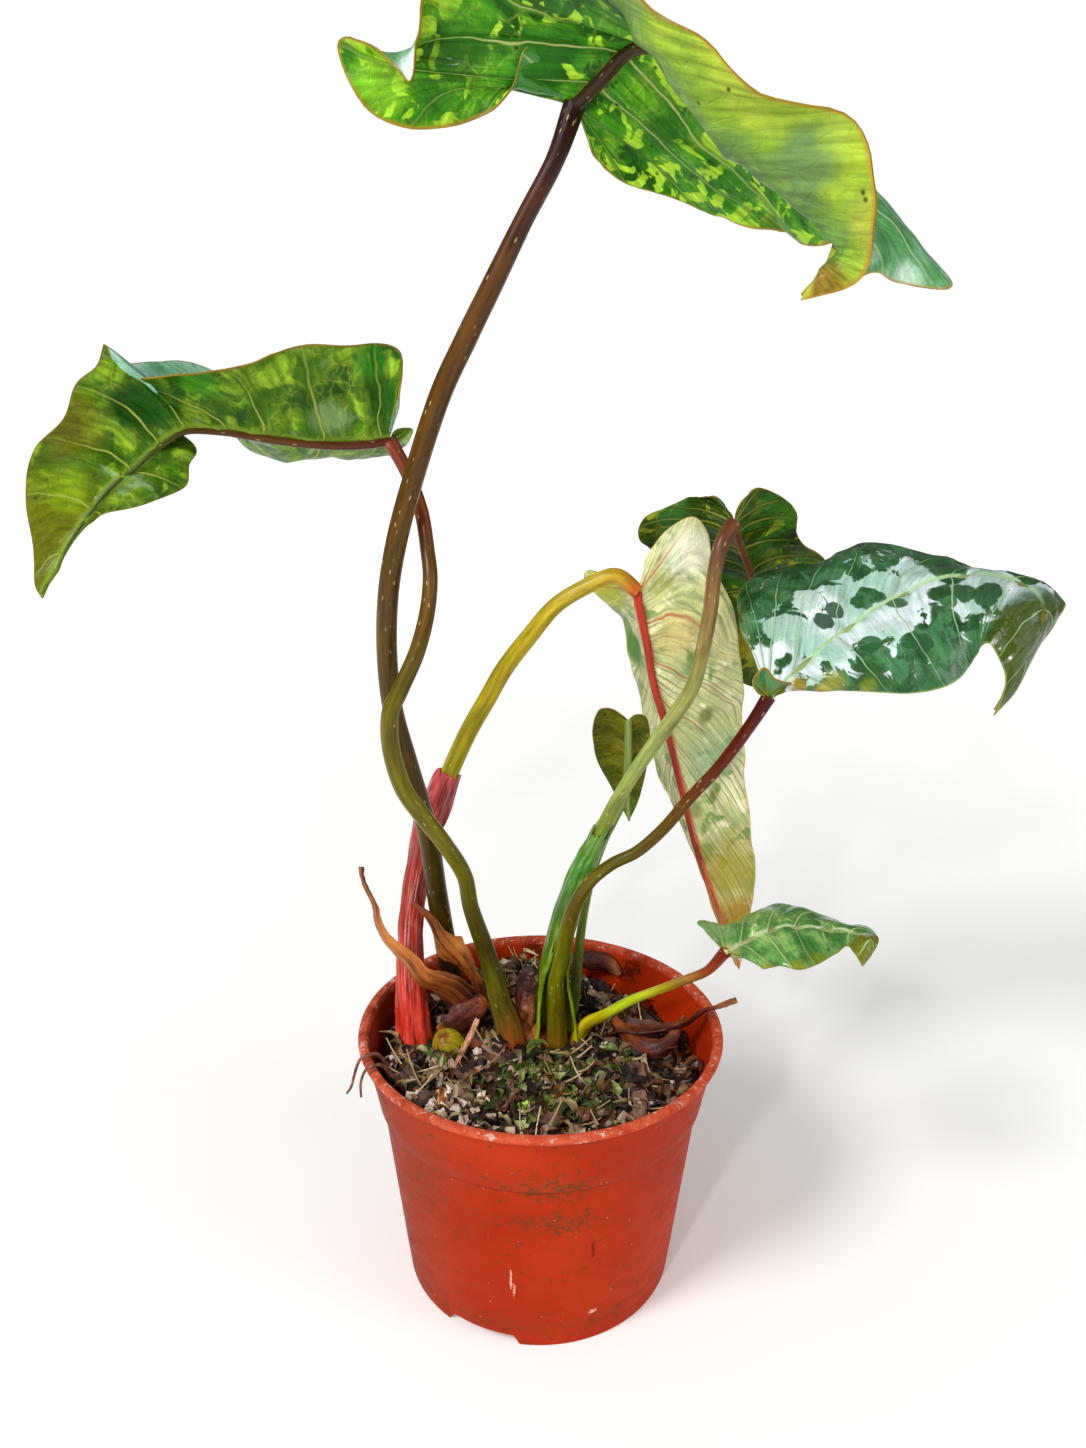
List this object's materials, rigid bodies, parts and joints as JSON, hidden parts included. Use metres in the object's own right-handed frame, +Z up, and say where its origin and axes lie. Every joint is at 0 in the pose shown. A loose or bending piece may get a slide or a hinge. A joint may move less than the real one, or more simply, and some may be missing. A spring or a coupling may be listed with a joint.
{
  "type": "potted philodendron gloriosum",
  "caption": "Potted philodendron with heart-shaped leaves on long bent petioles, papery sheaths and a creeping rhizome in a round plastic nursery pot.",
  "frame": {"origin": "centre of the pot's underside, on the surface it stands on", "axes": "+Z up along the pot's axis, -Y the plant's front, +X to the right as seen from the front"},
  "size_m": [0.3025, 0.1715, 0.3903],
  "materials": {
    "pot_plastic": "orange-red injection-moulded polypropylene, satin, with small scuffs and dirt",
    "mix": "damp bark and peat with white perlite, straw and moss",
    "rhizome_skin": "rough brown stem skin",
    "petiole_brown": "glossy olive brown skin with small pale flecks",
    "petiole_green": "glossy yellow-green skin",
    "leaf_bright": "glossy bright green leaf with an orange margin",
    "leaf_dark": "glossy dark green leaf blotched with silver",
    "leaf_pale": "cream-green young leaf with red veins",
    "sheath_red": "thin fleshy pink-red sheath",
    "sheath_lime": "thin fleshy lime-green sheath",
    "sheath_dry": "dry papery orange-brown sheath",
    "root_skin": "thin dry brown root"
  },
  "bodies": {
    "root": {"pot": "pot_plastic", "potting_mix": "mix", "rhizome": "rhizome_skin", "petiole_top": "petiole_brown", "petiole_left": "petiole_brown", "petiole_right": "petiole_brown", "petiole_new": "petiole_green", "petiole_back": "petiole_green", "petiole_small": "petiole_green", "petiole_low": "petiole_green", "petiole_stump": "petiole_green", "blade_top": "leaf_bright", "blade_left": "leaf_bright", "blade_low": "leaf_bright", "blade_back": "leaf_dark", "blade_right": "leaf_dark", "blade_small": "leaf_dark", "blade_new": "leaf_pale", "sheath_new": "sheath_red", "sheath_green": "sheath_lime", "dry_sheath_left": "sheath_dry", "dry_sheath_middle": "sheath_dry", "dry_sheath_right": "sheath_dry", "aerial_root_1": "root_skin", "aerial_root_2": "root_skin"}
  },
  "joints": []
}
